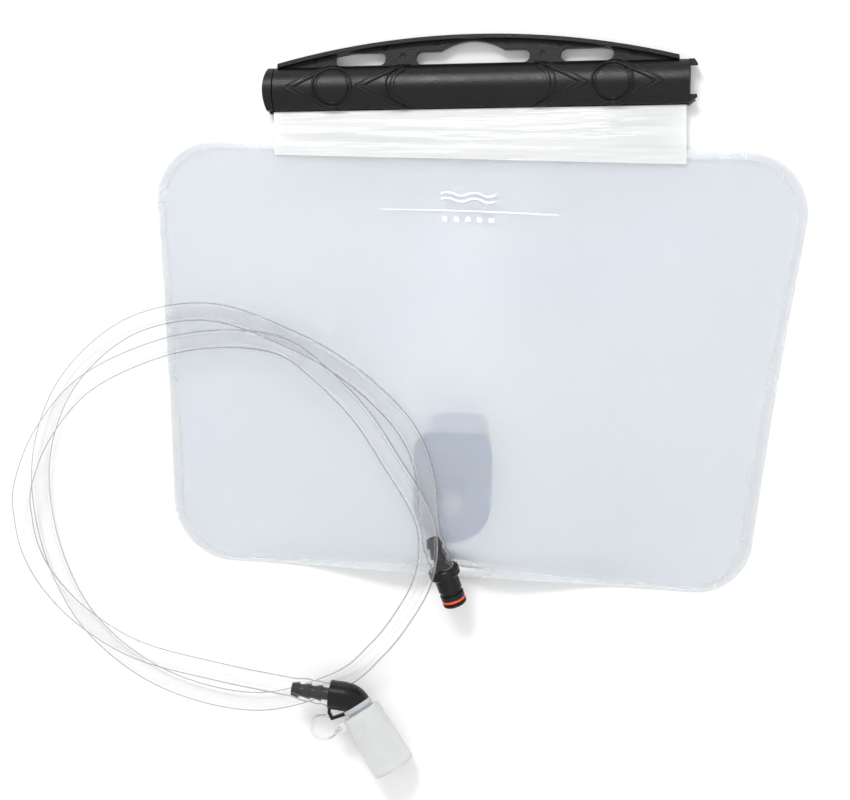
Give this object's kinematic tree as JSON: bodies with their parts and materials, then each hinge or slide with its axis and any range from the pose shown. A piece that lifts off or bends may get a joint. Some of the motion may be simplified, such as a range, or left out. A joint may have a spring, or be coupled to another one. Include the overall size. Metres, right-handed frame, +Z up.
{
  "type": "hydration bladder",
  "caption": "Flat film water bladder lying face up, with a slide-on closure bar and handle, a rear quick-connect port and a loose looped drinking hose with a capped mouthpiece.",
  "frame": {"origin": "on the table, below the middle of the bladder and its closure, the loose hose left out", "axes": "+X to the right along the closure bar, the way the slider comes off; +Y from the bladder towards the handle; +Z up, out of the front panel"},
  "size_m": [0.3812, 0.352, 0.0415],
  "materials": {
    "film": "soft translucent film, smooth",
    "collar_film": "thin clear film, creased",
    "rail_plastic": "natural translucent plastic",
    "black_plastic": "satin moulded",
    "port_plastic": "satin moulded, slate blue",
    "white_plastic": "natural acetal",
    "steel": "stainless spring steel",
    "seal": "smooth rubber",
    "red_seal": "smooth silicone rubber",
    "hose_tube": "clear flexible tube",
    "silicone": "milky translucent silicone",
    "cover_plastic": "milky translucent plastic"
  },
  "bodies": {
    "bladder": {"bag_front_panel": "film", "bag_back_panel": "film", "collar_front": "collar_film", "collar_back": "collar_film", "mouth_rail": "rail_plastic", "mouth_fold": "collar_film", "rail_end_stop": "black_plastic", "port_flange": "port_plastic", "port_body": "port_plastic", "port_end_cap": "port_plastic", "latch_spring": "steel", "poppet_spring": "steel", "spring_seat": "white_plastic"},
    "slider": {"slider": "black_plastic"},
    "button": {"latch_plate": "steel", "release_button": "black_plastic"},
    "poppet": {"poppet": "white_plastic", "poppet_seal": "seal"},
    "hose": {"hose": "hose_tube", "hose_plug": "black_plastic", "plug_o_ring": "red_seal", "elbow": "black_plastic", "bite_valve": "silicone", "cover_tether": "hose_tube"},
    "cover": {"dust_cover": "cover_plastic"}
  },
  "joints": [
    {"name": "slider_slide", "type": "slide", "parent": "bladder", "child": "slider", "axis": [1, 0, 0], "range_m": [0, 0.206]},
    {"name": "release_press", "type": "slide", "parent": "bladder", "child": "button", "axis": [-1, 0, 0], "range_m": [0, 0.0012], "stiffness_N_per_m": 600, "springref_m": -0.001, "deforming": ["latch_spring"]},
    {"name": "poppet_open", "type": "slide", "parent": "bladder", "child": "poppet", "axis": [0, -1, 0], "range_m": [0, 0.0035], "stiffness_N_per_m": 300, "springref_m": -0.002, "deforming": ["poppet_spring"]},
    {"name": "hose_lift", "type": "slide", "parent": "bladder", "child": "hose", "axis": [0, 0, 1], "range_m": [0, 0.12]},
    {"name": "cover_pull", "type": "slide", "parent": "hose", "child": "cover", "axis": [0.5348, -0.8425, -0.0657], "range_m": [0, 0.032], "deforming": ["cover_tether"]}
  ]
}
